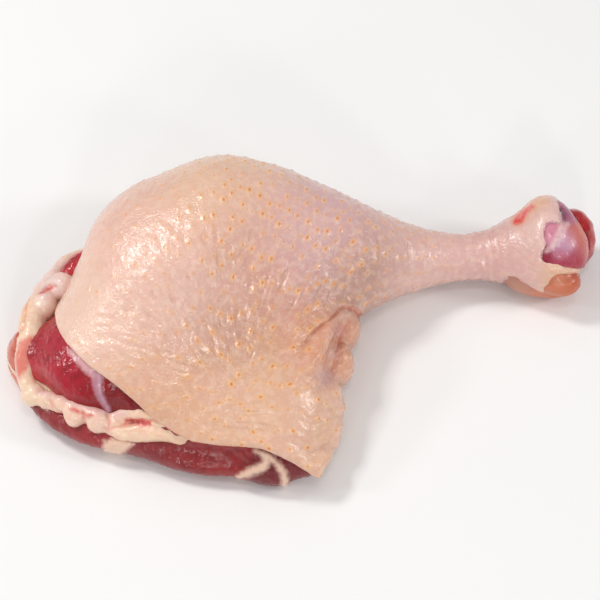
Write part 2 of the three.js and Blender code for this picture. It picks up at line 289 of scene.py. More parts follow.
class Finish:
    """The material of one piece."""

    def __init__(self, name):
        self.material = bpy.data.materials.new(name)
        self.material.use_nodes = True
        self.tree = self.material.node_tree
        self.tree.nodes.clear()
        self.place = self.node("TexCoord").part("Object")

    def node(self, kind, settings=None, inputs=None):
        """A shader node with its settings made first, and then the values or links of its sockets."""
        made = self.tree.nodes.new("ShaderNode" + kind)
        for name, value in (settings or {}).items():
            setattr(made, name, value)
        for name, value in (inputs or {}).items():
            if isinstance(value, Socket):
                self.tree.links.new(value.output, made.inputs[name])
            else:
                made.inputs[name].default_value = value
        return Socket(self, made)

    def mark(self, name, kind="Fac"):
        """What the points of the mesh store under a name: a number, a Color or a Vector."""
        return self.node("Attribute", {"attribute_name": name}).part(kind)

    def mottle(self, size_mm, detail=2.0, stretch=(1, 1, 1), turn=(0, 0, 0)):
        """Noise from 0 to 1 with swells of a given size."""
        turned = self.node("Mapping", {}, {"Vector": self.place, "Rotation": turn, "Scale": stretch})
        return self.node("TexNoise", {}, {"Vector": turned, "Scale": 1 / (size_mm * MM), "Detail": detail})

    def mix(self, share, first, second):
        """first where the share is 0, second where it is 1."""
        inputs = {0: share, 6: first, 7: second}
        return self.node("Mix", {"data_type": "RGBA"}, inputs).part(2)

    def relief(self, height, depth_mm, strength=1.0, under=None):
        inputs = {"Height": height, "Distance": depth_mm * MM, "Strength": strength}
        if under:
            inputs["Normal"] = under
        return self.node("Bump", {}, inputs)

    def flesh(
        self, colour, roughness, normal, depth_mm, wet, film=0.1, glow=0.2, gloss=0.5, tint=(1.0, 0.4, 0.25)
    ):
        """Soft flesh: light goes in a little way and comes out redder; wet flesh has a film over it."""
        constants = {
            "Subsurface Weight": glow,
            "Subsurface Radius": tint,
            "Subsurface Scale": depth_mm * MM,
            "Specular IOR Level": gloss,
            "Coat Weight": wet,
            "Coat Roughness": film,
            "Coat IOR": 1.5,
        }
        varying = {"Base Color": colour, "Roughness": roughness, "Normal": normal}
        shader = self.node("BsdfPrincipled", {}, {**constants, **varying})
        self.node("OutputMaterial", {}, {"Surface": shader.part("BSDF")})


shaft = limb((-16, 14, 20, 6.5), (4, 15, 18, 4.2), (34, 16, 13, 3.8), (60, 18, 11.2, 4), (74, 18.5, 14, 5.5))
cartilage = melt(3, lobe((84, 15.5, 17.5), (10.5, 11.4, 12.4)), lobe((81.3, 22.5, 17.6), (10.1, 10.5, 13.4)))
PAD_TOP = 16.8  # up the board, where the cartilage gives way to the pad


def cartilage_cut(x, y, z):
    return blend_max(1.0, cartilage(x, y, z), PAD_TOP - board_height(y, z))


bone = melt(4, shaft, cartilage_cut)
BONE_CELL = 0.8

points, faces = net(bone, (-30, -1, -1), (100, 38, 38), BONE_CELL)
strands = [
    [(84.2, 31, 0.3), (83.2, 28.4, 0.45), (81.6, 25.4, 0.5), (80.2, 23.4, 0.4), (79, 22.2, 0.2)],
    [(86.3, 31, 0.2), (84.8, 29.3, 0.4), (83.6, 26.6, 0.35), (82.4, 24.4, 0.2)],
]
STRAND_RISE, HOLLOW_DEPTH, MOUND_RISE = 0.5, 1.6, 1.0
x, up = points[:, 0], up_board(points)
ridges = STRAND_RISE * np.exp(-(np.maximum(off_strips(points, *strands), 0) ** 2) / 0.5)
hollow = HOLLOW_DEPTH * np.exp(-((x - 86.6) ** 2 + (up - 33.8) ** 2) / 3.5)
mound = MOUND_RISE * np.exp(-(((x - 80.4) / 1.7) ** 2) - ((up - 27.3) / 2.6) ** 2)
points = raised(points, faces, ridges - hollow + mound + 0.25 * ripple(points, 4.5, 1))
# The gristle's colours on the board. The pale lilac row in the middle of the knuckle (85.9, 24.4) is partly
# its own tone and partly a painted highlight.
gristle_tints_and_highlight = shades(points, [
    (85.9, 24.4, 2.2, (204, 170, 194)),
    (83.8, 22, 1.6, (190, 116, 142)),
    (81.2, 28.6, 1.8, (214, 138, 158)),
    (79.2, 20.6, 1.5, (150, 30, 62)),
    (84.5, 19.4, 2.0, (168, 32, 64)),
    (88.6, 20.6, 2.0, (166, 16, 48)),
    (91.6, 24, 2.0, (200, 96, 88)),
    (89.3, 27.6, 2.3, (212, 108, 86)),
    (86.8, 27, 1.4, (196, 128, 148)),
    (87.6, 33, 1.3, (176, 104, 134)),
    (85.6, 34, 0.8, (96, 24, 50)),
])

bone_finish = Finish("bluish_pink_cartilage")
gristle = bone_finish.mark("tint", "Color")
ragged = 1.6 * bone_finish.mottle(1.3, 3.0) - 0.8
on_strand = (bone_finish.mark("strand") + ragged).under(0.4, 1.6) * 0.65
gristle = bone_finish.mix(on_strand, gristle, linear(234, 206, 204))
gristle = bone_finish.mix(bone_finish.mottle(1.6, 3.0).under(0.42, 0.2) * 0.3, gristle, linear(196, 96, 116))
sheen = 0.18 + 0.22 * bone_finish.mottle(1.2)
grain = bone_finish.relief(bone_finish.mottle(0.8, 3.0), 0.16)
bone_finish.flesh(gristle, sheen, grain, 2.0, wet=0.25, film=0.17, tint=(1.0, 0.5, 0.5))
marks = {"tint": gristle_tints_and_highlight, "strand": off_strips(points, *strands)}
make_piece("leg_bone", points, faces, bone_finish, marks)

# ==== The outer thigh muscle =============================================================================
# Dark red meat, wet from the knife, round the shin bone and over the top of the thigh. A thin pink film
# clings to it beside the skin, and a flat grey-lilac tendon crosses it.

SKIN = 2.6  # skin with the fat that lines it
SINK = 0.1  # how far neighbouring pieces press into each other
BEDDING = 0.7  # how deep the soft fat beds into the meat
SEAM_FAT = 2.4  # the layer of fat between the muscles
SOFT_EDGE = 0.7  # how rounded a cut edge is
CALF_END = 66  # where the drumstick's flesh ends, short of the hock
FLESH_CELL = 1.0

drumstick = limb(
    (-48, 11, 20, 19.5), (-30, 16.5, 21.5, 26.5), (-10, 17.3, 21.5, 24.8), (6, 15, 20, 21), (22, 13, 17, 17),
    (34, 15.5, 13, 12), (46, 17.2, 11.2, 8.8), (58, 18, 10.8, 8), (68, 19, 12.5, 10),
)
knee = melt(8, lobe((-45, -2, 20), (28, 27.5, 23.5), 38), lobe((-38, 9.5, 20), (26, 31.5, 24)))
hip = lobe((-60, -21, 15), (23, 23, 17), -30)
outer_thigh = lobe((-29, -27, 14), (38, 31, 20), -14)
inner_bend = lobe((-8, -10, 14), (23, 24, 20))
back_flap = lobe((-7, -41, 11), (17, 24, 13.5))
hock = melt(5, lobe((81.8, 19.8, 15), (12, 16.4, 16.8)), lobe((74.6, 11.5, 9.2), (6.3, 6, 7)))
thigh = melt(10, knee, hip, outer_thigh, inner_bend, back_flap)
leg_under_rolls = melt(8, melt(14, drumstick, thigh), hock)

# Loose skin gathers into rolls where the leg bends, from the bend down to the tip of the flap.
bend_rolls = melt(
    1.5,
    lobe((10.5, -12, 13), (8.5, 8, 12)),
    lobe((8.5, -26, 12), (8, 6.5, 11)),
    lobe((4, -40, 10), (9.5, 9, 10)),
    lobe((3.9, -47.5, 9), (8.9, 8, 9)),
    lobe((0.3, -55, 8), (8.8, 11, 8.2), 12),
)

leg = melt(2.2, leg_under_rolls, bend_rolls)
outer_bulge = lobe((-66, -25, 15), (19.5, 17, 11), -42)
inner_bulge = melt(
    5,
    lobe((-53, -17, 6.5), (40.4, 37, 9.5)),
    lobe((-28, -36, 6), (36, 26, 9), -8),
    lobe((-9, -51, 6), (12.5, 14.5, 8.5)),
    lobe((-84.2, -20.4, 10.5), (10.4, 9.7, 9)),
)


def under_skin(x, y, z):
    return np.maximum(leg(x, y, z) + SKIN - SINK, x - CALF_END)


hip_lobe = lobe((-72.5, 7.8, 18.1), (8.8, 4.7, 5.4), 50)
hip_bed = lobe((-75.5, 2.5, 10), (9, 10.5, 8.5))
# The skin's edge at the hip: a place on it, along X and up the board, and how far it leans with height.
EDGE_X, EDGE_UP, EDGE_LEAN = -67.2, 26, 0.57


def hip_muscle(x, y, z):
    """A small muscle at the hip; past the skin's edge it dips beneath the skin."""
    past_edge = x - EDGE_X + EDGE_LEAN * (EDGE_UP - board_height(y, z))
    return np.maximum(hip_lobe(x, y, z), np.minimum(leg(x, y, z) + SKIN - SINK, past_edge))


flesh = melt(1.5, melt(4, under_skin, outer_bulge, inner_bulge, hip_bed), hip_muscle)


def smoothstep(value, start, end):
    t = np.clip((value - start) / (end - start), 0, 1)
    return t * t * (3 - 2 * t)


def seam_height(x, y):
    """Height of the fatty seam between the muscles: up over the hip and at the front, down at the knee."""
    hip_climb = 7 * np.exp(-((x + 84) ** 2 + (y - 4) ** 2) / 300)
    front_climb = (3.4 + 5.6 * smoothstep(x, -42, -27)) * smoothstep(-y, 24, 42)
    return 9.5 + hip_climb + front_climb - 24 * smoothstep(x, -8, 18) * smoothstep(y, -52, -30)


def rope(*stations, steps=4):
    """The field of a rope along a smooth path; each station is x, y, z, radius."""
    path = smooth_line(stations, steps)

    def field(x, y, z):
        nearest = np.inf
        for a, b in zip(path, path[1:]):
            d = b - a
            t = ((x - a[0]) * d[0] + (y - a[1]) * d[1] + (z - a[2]) * d[2]) / (d[:3] @ d[:3])
            t = np.clip(t, 0, 1)
            off = (x - a[0] - t * d[0]) ** 2 + (y - a[1] - t * d[1]) ** 2 + (z - a[2] - t * d[2]) ** 2
            nearest = np.minimum(nearest, np.sqrt(off) - a[3] - t * d[3])
        return nearest

    return field


fat_roll = rope(
    (-61, 22, 12.4, 2.1), (-71, 16.2, 15.4, 2.0), (-77.8, 10.8, 17.2, 2.1), (-82, 3.5, 17.8, 2.6),
    (-84.8, -4, 17.2, 3.7), (-86.4, -12, 16.9, 4.3), (-86.8, -19, 16, 4.4), (-87.8, -25.2, 13.9, 3.6),
    (-87.8, -29.4, 11.8, 3.0), (-86, -33.8, 10.6, 2.8), (-82.2, -37.7, 11, 2.7), (-76, -40.2, 12.1, 3.0),
    (-70.5, -42.8, 11.9, 3.6), (-62, -45.8, 11.6, 3.6), (-54.5, -50, 11.2, 3.1), (-48.2, -50.2, 12, 3.4),
    (-41.5, -51.2, 13.4, 3.2), (-36, -53, 12.5, 2.6), (-30, -52, 14, 1.8),
)
fat_shelf = rope(
    (-58, -45.5, 13, 2.0), (-54, -45.2, 14.6, 2.4), (-49.5, -46.2, 16.2, 2.9), (-44.5, -47.8, 16.8, 3.2),
    (-38, -49.6, 16.8, 3.4), (-30, -50.6, 15.5, 3.2),
)
fat_lobes = melt(
    1.0,
    fat_roll,
    fat_shelf,
    lobe((-82.8, -6, 17.2), (3.7, 5.6, 4.8)),
    lobe((-77.6, 0.4, 18.8), (4.6, 4.8, 4.3)),
    lobe((-84.8, -36.4, 11.4), (3.8, 3.8, 4.1)),
    lobe((-79.8, -38.8, 12.2), (3, 2.5, 3)),
    lobe((-75.2, -40.6, 12.6), (3.3, 2.7, 3.2)),
    lobe((-71, -43.8, 11.2), (3.8, 4.1, 4.2)),
    lobe((-63.4, -46, 11.2), (4.1, 4.0, 4.2)),
)

LOWEST, HIGHEST = (-102, -72, -2), (100, 50, 52)


def refine(points, faces, chosen):
    """Splits the chosen faces into four; a neighbour takes the new points into its outline."""
    pairs = np.sort(np.stack([faces, np.roll(faces, -1, axis=1)], axis=2).reshape(-1, 2), axis=1)
    edges, edge_of = np.unique(pairs, axis=0, return_inverse=True)
    edge_of = edge_of.reshape(-1, 4)
    split = np.zeros(len(edges), bool)
    split[edge_of[chosen]] = True
    middle_of = len(points) + np.cumsum(split) - 1
    middles = points[edges[split]].mean(axis=1)
    centres = points[faces[chosen]].mean(axis=1)
    centre_of = len(points) + len(middles) + np.arange(len(centres))
    corner, side = faces[chosen], middle_of[edge_of[chosen]]
    fine = [
        np.stack([corner[:, k], side[:, k], centre_of, side[:, k - 1]], axis=1) for k in range(4)
    ]
    rest, rest_edges = faces[~chosen], edge_of[~chosen]
    touched = split[rest_edges].any(axis=1)
    border = []
    for face, around in zip(rest[touched], rest_edges[touched]):
        outline = []
        for point, edge in zip(face, around):
            outline += [point, middle_of[edge]] if split[edge] else [point]
        border.append(outline)
    return np.vstack([points, middles, centres]), np.vstack([*fine, rest[~touched]]), border


def flesh_piece(field, low, high, bare, depth):
    """A net with its bare surface made finer and put back on the field, then moved by the depth."""
    points, faces = net(field, low, high, FLESH_CELL)
    points, faces, border = refine(points, faces, bare(points)[faces].any(axis=1))
    points = settle(field, points, 1)
    return raised(points, faces, depth(points)), faces, border


def outer_muscle(x, y, z):
    above_seam = seam_height(x, y) + SEAM_FAT / 2 - z
    off_fat, off_bone = -BEDDING - fat_lobes(x, y, z), -SINK - shaft(x, y, z)
    return blend_max(SOFT_EDGE, flesh(x, y, z), above_seam, off_fat, off_bone)


FINE_UNDER_SKIN = 1.5  # how far in under the skin the meat's fine surface goes on
BARE_TO = 20  # the meat is bare only this far along the leg


def cut_face(points):
    """The part of the thigh's meat that no skin covers."""
    return leg(*points.T) > -SKIN - FINE_UNDER_SKIN


def cut_meat_relief(points):
    """Bundles of fibres, coarse and fine."""
    bundles = 0.22 * ripple(points, (2.6, 7, 5), 2) + 0.17 * ripple(points, (1.1, 1.8, 1.5), 3)
    return bundles * (points[:, 0] < BARE_TO)


def red_meat(name, tissues, wet=0.45):
    """Wet red muscle in its marked tint, with fibres, and pale tissues on the patches marked for them."""
    finish = Finish(name)
    fibres = finish.mottle(0.9, 4.0, (1, 0.22, 0.4))
    colour = finish.mark("tint", "Color")
    colour = finish.mix(finish.mottle(3.5, 3.0).under(0.45, 0.25) * 0.4, colour, linear(110, 8, 20))
    colour = finish.mix(fibres.under(0.4, 0.15) * 0.06, colour, linear(222, 104, 110))
    ragged = 1.4 * finish.mottle(1.4, 3.0) - 0.7
    for mark, (tissue, softness, share) in tissues.items():
        colour = finish.mix((finish.mark(mark) + ragged).under(0, softness) * share, colour, tissue)
    roughness = 0.08 + 0.17 * finish.mottle(1.6, 3.0)
    bumps = finish.relief(finish.mottle(0.8, 2.0) + 0.5 * fibres, 0.17)
    shine = wet * finish.mark("moist")
    finish.flesh(colour, roughness, bumps, 1.5, shine, glow=0.12, gloss=0.45, tint=(1.0, 0.2, 0.15))
    return finish


outer_finish = red_meat(
    "wet_dark_red_muscle",
    {
        "film": (linear(232, 190, 194), 2.0, 0.75),
        "tendon": (linear(196, 142, 158), 1.6, 0.8),
        "tendon_shine": (linear(222, 196, 216), 1.6, 0.4),
    },
)
tendon = [(-63, -16, 1.9), (-63.2, -19.5, 1.5), (-62.6, -22.8, 1.2), (-61.4, -25.4, 1.1), (-60.4, -28, 0.8)]
TENDON_RISE = 0.4


def outer_relief(points):
    return cut_meat_relief(points) + TENDON_RISE * smoothstep(-off_strips(points, tendon), -0.6, 0.5)


points, faces, border = flesh_piece(outer_muscle, LOWEST, HIGHEST, cut_face, outer_relief)
film = [(-73, -8.6, 0.2), (-69.6, -11.6, 1.1), (-66.2, -14.6, 1.5), (-63, -17.2, 0.9)]
marks = {
    "tint": shades(points, [
        (-93, -8, 3, (218, 118, 92)),
        (-92, -14, 3, (214, 108, 84)),
        (-84, -6, 4, (186, 50, 62)),
        (-83, -14, 4, (188, 50, 64)),
        (-82, 0, 3.5, (164, 26, 38)),
        (-77, -6, 4, (176, 32, 52)),
        (-72, -17, 4, (176, 22, 44)),
        (-66, -22, 4, (154, 4, 22)),
        (-57, -25, 4, (128, 0, 8)),
        (-78, 15, 5, (190, 46, 52)),
    ]),
    "moist": smoothstep(up_board(points), -28, -19),
    "tendon": off_strips(points, tendon),
    "tendon_shine": off_strips(points, [(x + 0.5, up, 0.2) for x, up, _ in tendon]),
    "film": off_strips(points, film),
}
make_piece("outer_muscle", points, faces, outer_finish, marks, border)

# ==== The inner thigh muscle =============================================================================
# Duller red meat that the leg lies on, settled flat underneath. It was cut through at the front, where
# strips of pale fat show in it.


def inner_muscle(x, y, z):
    below_seam = z - seam_height(x, y) + SEAM_FAT / 2
    return blend_max(SOFT_EDGE, flesh(x, y, z), below_seam, -BEDDING - fat_lobes(x, y, z), -z)


inner_finish = red_meat(
    "dull_red_muscle",
    {"hip_film": (linear(222, 144, 126), 3.0, 0.9), "fat": (linear(242, 206, 182), 2.2, 0.9)},
)


def off_outline(outline, x, y):
    """Distance outside a closed outline on the board, negative inside it."""
    nearest, inside = np.inf, False
    for a, b in zip(outline, np.roll(outline, -1, axis=0)):
        d = b - a
        t = np.clip(((x - a[0]) * d[0] + (y - a[1]) * d[1]) / (d @ d), 0, 1)
        nearest = np.minimum(nearest, (x - a[0] - t * d[0]) ** 2 + (y - a[1] - t * d[1]) ** 2)
        inside = inside ^ (((a[1] > y) != (b[1] > y)) & (x < d[0] * (y - a[1]) / (d[1] or 1e-9) + a[0]))
    return np.where(inside, -1, 1) * np.sqrt(nearest)


def off_patches(points, *patches):
    """Distance on the board outside some patches with smooth outlines."""
    rings = [smooth_line([*corners, corners[0]], 3)[:-1] for corners in patches]
    return np.minimum.reduce([off_outline(ring, points[:, 0], up_board(points)) for ring in rings])


# Two strips of pale fat, and the outline of the bulge where more of it meets the roll.
front_strips = [
    [(-14, -39.6, 0.6), (-11, -41.6, 1.0), (-11.4, -43.8, 1.4), (-13.8, -45.4, 1.5), (-17, -47, 1.3),
     (-20, -48.4, 0.6)],
    [(-12, -40.2, 0.6), (-9, -42.2, 0.8), (-7, -44.4, 0.9), (-5.6, -47.6, 1.1), (-5.4, -51, 1.3)],
]
front_bulge = [
    (-61.6, -37.6), (-62.4, -40.4), (-64.6, -41.6), (-65.4, -45), (-57.6, -45), (-56.6, -42), (-54.4, -40.4),
    (-52.4, -37.6), (-57, -36.4),
]
FRONT_FAT_RISE = 0.7


def off_front_fat(points):
    """Distance outside the pale fat on the front, with a ragged edge."""
    off = np.minimum(off_strips(points, *front_strips), off_patches(points, front_bulge))
    return off + 0.5 * ripple(points, 1.8, 16)


def inner_relief(points):
    return cut_meat_relief(points) + FRONT_FAT_RISE * smoothstep(-off_front_fat(points), -1.2, 1.0)


points, faces, border = flesh_piece(inner_muscle, LOWEST, HIGHEST, cut_face, inner_relief)
marks = {
    "tint": shades(points, [
        (-91, -12, 4, (184, 82, 66)),
        (-76, -30, 6, (150, 58, 60)),
        (-64, -37, 5, (160, 52, 56)),
        (-50, -41, 6, (146, 56, 58)),
        (-38, -44, 7, (140, 46, 48)),
        (-28, -41, 6, (154, 36, 38)),
        (-9, -47, 4, (112, 4, 14)),
        (0, -48, 4, (126, 20, 26)),
    ]),
    "moist": np.full(len(points), 0.4),
    "fat": off_front_fat(points),
    "hip_film": points[:, 0] + 87.5,
}
make_piece("inner_muscle", points, faces, inner_finish, marks, border)

# ==== The seam fat =======================================================================================
# Soft cream fat: a layer that runs through the thigh between the two muscles and swells, where the skin
# was pulled away, into a roll of rounded lobes parted by pink tissue and spots of blood.

SET_BACK = 0.2  # how far inside the meat's surface the layer ends


def seam_fat(x, y, z):
    sheet = np.maximum(np.abs(z - seam_height(x, y)) - SEAM_FAT / 2 - SINK, flesh(x, y, z) + SET_BACK)
    return np.maximum(np.minimum(sheet, fat_lobes(x, y, z)), -z)


partings = [
    [(-68.4, -28.6, 0.3), (-67.9, -30.6, 0.25), (-67.8, -34.4, 0.1)],
    [(-75.4, -29, 0.1), (-75.2, -31, 0.1), (-73.6, -34, 0.1)],
    [(-78.8, -24.4, 0.1), (-77.6, -27.6, 0.1), (-75.2, -29, 0.1)],
    [(-60.2, -29, 0.1), (-59.6, -31.4, 0.15), (-60.2, -34, 0.1)],
    [(-61, -33.6, 0.1), (-57, -32.8, 0.15), (-52.5, -31.4, 0.15), (-48, -30.6, 0.2), (-44, -30.6, 0.2)],
    [(-87.6, 9, 0.1), (-88.4, 5, 0.1), (-88.6, 1.5, 0.15), (-88.6, -2, 0.2), (-90.4, -4.6, 0.4)],
    [(-83.4, 9.5, 0.3), (-81.4, 10.8, 0.5), (-79.6, 10.6, 0.2)],
]


GROOVE = 0.6  # how deep and wide the partings are
BESIDE_ROLL = 1.5


def fat_relief(points):
    grooves = np.exp(-((np.maximum(off_strips(points, *partings), 0) / GROOVE) ** 2))
    return 0.35 * ripple(points, 5, 4) + 0.28 * ripple(points, 2.4, 5) - GROOVE * grooves


fat_finish = Finish("cream_fat")
cream = fat_finish.mark("tint", "Color")
cream = fat_finish.mix(fat_finish.mottle(4, 3.0).under(0.47, 0.3) * 0.4, cream, linear(238, 186, 172))
cream = fat_finish.mix(fat_finish.mottle(1.6, 3.0).under(0.45, 0.2) * 0.3, cream, linear(252, 232, 214))
ragged = 2.4 * fat_finish.mottle(1.6, 4.0) - 1.2
for mark, pink, softness, share in [
    ("wedge", (226, 110, 98), 2.4, 0.85),
    ("rind", (242, 212, 202), 0.9, 0.7),
    ("parting", (226, 116, 104), 1.3, 0.6),
    ("film", (238, 192, 190), 2.2, 0.75),
    ("blood", (212, 40, 56), 1.8, 0.85),
]:
    here = (fat_finish.mark(mark) + ragged).under(0.1, softness) * share
    cream = fat_finish.mix(here, cream, linear(*pink))
grain = fat_finish.relief(fat_finish.mottle(1.2, 2.0), 0.25, 0.7)
sheen = 0.2 + 0.25 * fat_finish.mottle(1.4, 2.0)
fat_finish.flesh(cream, sheen, grain, 2.2, wet=0.25, tint=(1.0, 0.5, 0.3))


def on_roll(points):
    return fat_lobes(*points.T) < BESIDE_ROLL


points, faces, border = flesh_piece(seam_fat, LOWEST, (30, 40, 40), on_roll, fat_relief)
# Meat shows through the roll's left end in a wedge; a pink film and spots of blood lie along the roll.
wedge = [
    (-89.8, -7.2), (-87.6, -5.6), (-85, -5.4), (-85.4, -10), (-86.4, -14.5), (-88.6, -17.2), (-90.1, -18.5),
    (-91.2, -15.2), (-90.7, -10.6),
]
film = [
    (-83.6, -22, 0.5), (-79, -23.4, 0.6), (-74, -24.4, 0.8), (-68.4, -26.8, 0.8), (-62, -28, 0.8),
    (-55, -28.8, 0.6),
]
blood_spots = [
    [(-76.6, -29, 0.2), (-75.6, -29.2, 0.4)],
    [(-72, -27.3, 0.2), (-70.4, -27.7, 0.5), (-69.4, -28.4, 0.3)],
    [(-68.4, -28.8, 0.2), (-67, -29.2, 0.5), (-65, -29.2, 0.2)],
    [(-80.6, 10.4, 0.2), (-82.6, 9.2, 0.35), (-84.6, 8.4, 0.1)],
    [(-54.6, -30.7, 0.2), (-52, -31, 0.6), (-50, -31.2, 1.0), (-47, -31.4, 0.7)],
]
marks = {
    "tint": shades(points, [
        (-86, 0, 5, (246, 216, 186)),
        (-91, 2.5, 3, (240, 188, 126)),
        (-82, 8, 3, (236, 208, 204)),
        (-88, -24, 5, (244, 214, 184)),
        (-70, -31, 6, (242, 204, 180)),
        (-62, -30, 4, (238, 198, 178)),
        (-50, -35, 6, (248, 212, 176)),
        (-52, -31, 2, (232, 190, 176)),
    ]),
    "wedge": off_patches(points, wedge),
    "rind": off_strips(points, [(-89.2, -5, 0.2), (-91.2, -9, 0.3), (-91.4, -14, 0.3), (-90, -18.8, 0.5)]),
    "parting": off_strips(points, *partings),
    "film": off_strips(points, film),
    "blood": off_strips(points, *blood_spots),
}
make_piece("seam_fat", points, faces, fat_finish, marks, border)

# ==== The skin ===========================================================================================
# One sheet of pale, moist, slightly see-through skin with its lining of fat, laid over the thigh and right
# round the drumstick. Plucking left a raised pit with an orange root at each feather. It was cut round the
# hip and along the front of the thigh, and with the foot at the hock.

SKIN_CELL = 1.1
HEM = 4  # the skin stops this far above the base under the thigh
WRAP_FROM = 20  # beyond this it goes right round the drumstick
# The knife's line in the skin, on the board: round the hip, along the front and back up at the flap.
CUT_LINE = [
    (-67, 60), (-68.6, 38), (-69.4, 27), (-71.3, 20), (-74, 15.4), (-76.8, 11), (-78.2, 6.6), (-78.6, 2.6),
    (-76.7, -2.2), (-73.5, -6.3), (-66.3, -13.1), (-58.9, -18.6), (-52.2, -23.9), (-46.3, -29),
    (-39.4, -33.9), (-34, -36.5), (-25.7, -37.9), (-14.6, -38.4), (-9.5, -39.7), (-3.5, -42.7),
    (1.7, -45.9), (4.6, -47.8), (7.0, -45.2), (10, -42),
]
# At the hock it runs back round the cartilage, out over a lip and back again round the pad.
COLLAR_LINE = [
    (85.5, 60), (85.2, 39), (84.6, 34.4), (84.7, 31.6), (83.8, 30.2), (82.3, 31.2), (80, 31.1), (79, 29.5),
    (79.1, 27), (79.8, 24.6), (78.8, 22.3), (78.1, 20.4), (79.4, 18.6), (85.5, 18.3), (87.5, 17.4),
    (91.6, 17), (92.6, 16), (91.4, 15), (88, 14.9), (84, 15.1), (82.2, 14.2), (81, 12.6), (80.9, 10),
    (80.4, 8.4), (78.6, 9), (75.5, 10.6), (72.5, 12.2), (67.8, 13.2), (66.9, 9.5), (66.7, 2),
    (66.6, -10), (66.6, -60),
]
GRID_STEP = 0.4


def outside_of(outline):
    """How far places lie outside a closed outline on the board, worked out once on a fine grid."""
    us, vs = np.arange(-110, 110, GRID_STEP), np.arange(-70, 70, GRID_STEP)
    exact = off_outline(outline, us[:, None], vs[None, :])

    def field(x, y, z):
        up = board_height(y, z)
        i = np.clip((x + 0 * up - us[0]) / GRID_STEP, 0, len(us) - 1.01)
        j = np.clip((up + 0 * x - vs[0]) / GRID_STEP, 0, len(vs) - 1.01)
        a, b = i.astype(int), j.astype(int)
        f, g = i - a, j - b
        low = exact[a, b] * (1 - f) + exact[a + 1, b] * f
        high = exact[a, b + 1] * (1 - f) + exact[a + 1, b + 1] * f
        return low * (1 - g) + high * g

    return field


# Between the two lines the outline drops below the leg, where the skin goes right round.
below_leg = [(60, -30), (60, -69)]
beyond_cut = outside_of(
    np.vstack([smooth_line(CUT_LINE, 4), below_leg, smooth_line(COLLAR_LINE, 3)[::-1]])
)
HOCK_THINNING = 0.6


def skin_depth(x):
    return SKIN - HOCK_THINNING * smoothstep(x, 58, 76)


def skin_field(x, y, z):
    outside = leg(x, y, z)
    lining = -(outside + skin_depth(x))
    hem = np.minimum(WRAP_FROM - x, HEM - z)
    return blend_max(SOFT_EDGE, outside, lining, beyond_cut(x, y, z), hem, -z)


BEND = (7, -21, 24)  # the middle of the folds

points, faces = net(skin_field, LOWEST, HIGHEST, SKIN_CELL)
outer = leg(*points.T) > -skin_depth(points[:, 0]) * 0.8
points, faces, border = refine(points, faces, outer[faces].any(axis=1))
at_bend = np.linalg.norm((points - BEND) / (17, 21, 14), axis=1) < 1
points, faces, bend_border = refine(points, faces, at_bend[faces].all(axis=1))
border += bend_border
points = settle(skin_field, points, 1)
surface = smoothstep(leg(*points.T), -1.2, -0.3)  # 1 on the outside of the skin, 0 on its lining

# Loose skin at the bend overlaps in folds. Each edge is a smooth line on the board whose left side stands
# over its right side; a station is x, height and how much of the fold is there.
FOLD_EDGES = [
    [(-1.5, -8.2, 0.0), (0.4, -6.6, 0.3), (3.6, -2.9, 0.6), (8.1, 0.7, 0.75), (11.4, 3.9, 0.85),
     (13.4, 4.7, 0.8), (15.7, 4.6, 0.9), (17.9, 3.8, 1.0), (19.2, 1.8, 1.0)],
    [(-9.7, -7.9, 0.0), (-7.2, -5.4, 0.12), (-4, -3.4, 0.2), (-0.2, -1.5, 0.22), (2.3, 0.9, 0.2),
     (6.2, 2.6, 0.0)],
    [(10.4, -9.6, 0.3), (11.3, -7.9, 0.6), (12.7, -5.1, 0.8), (14.7, -1.2, 0.8), (15.9, 1.4, 0.6),
     (16.8, 3.4, 0.3)],
    [(11.9, -20.8, 0.6), (10.5, -19, 0.7), (10, -15.2, 0.7), (11, -11.4, 0.6), (12.6, -9.4, 0.5),
     (14.6, -8.8, 0.0)],
]
# Soft ridges and hollows between them: height, width, and a line of the same kind.
SWELLINGS = [
    (2.6, 2.3, [(11, 1.4, 0.4), (8.6, -1.8, 0.9), (6.8, -5.6, 1.0), (4.2, -10.6, 0.9), (1, -15.5, 0.4),
                (0, -18, 0)]),
    (-2.0, 2.0, [(15.4, 3, 0.3), (13.4, -1.2, 0.9), (11.4, -5.1, 1.0), (10, -9.5, 0.9), (8.9, -14.3, 0.9),
                 (7, -19, 0.5), (4, -22.6, 0)]),
    (1.0, 1.5, [(16, -3, 0.6), (14.6, -6, 1.0), (13, -8, 0.6)]),
    (0.8, 1.5, [(14.5, -11.5, 0.8), (13, -15, 1.0), (13, -18, 0.6)]),
]
OVERLAP, TUCK = 0.65, 1.05  # how far an edge stands up, and the skin under it goes down
DEEPEST = 2.4


def beside(stations, x, up):
    """Distance to a smooth line on the board, positive on its left, and its strength where it is nearest."""
    path = smooth_line(stations, 4)
    nearest, side, strength = np.full(len(x), np.inf), np.ones(len(x)), np.zeros(len(x))
    for a, b in zip(path, path[1:]):
        d = b - a
        t = np.clip(((x - a[0]) * d[0] + (up - a[1]) * d[1]) / (d[:2] @ d[:2]), 0, 1)
        off = np.hypot(x - a[0] - t * d[0], up - a[1] - t * d[1])
        closer = off < nearest
        strength = np.where(closer, a[2] + t * d[2], strength)
        side = np.where(closer, np.sign(d[0] * (up - a[1]) - d[1] * (x - a[0])), side)
        nearest = np.where(closer, off, nearest)
    return nearest * side, strength


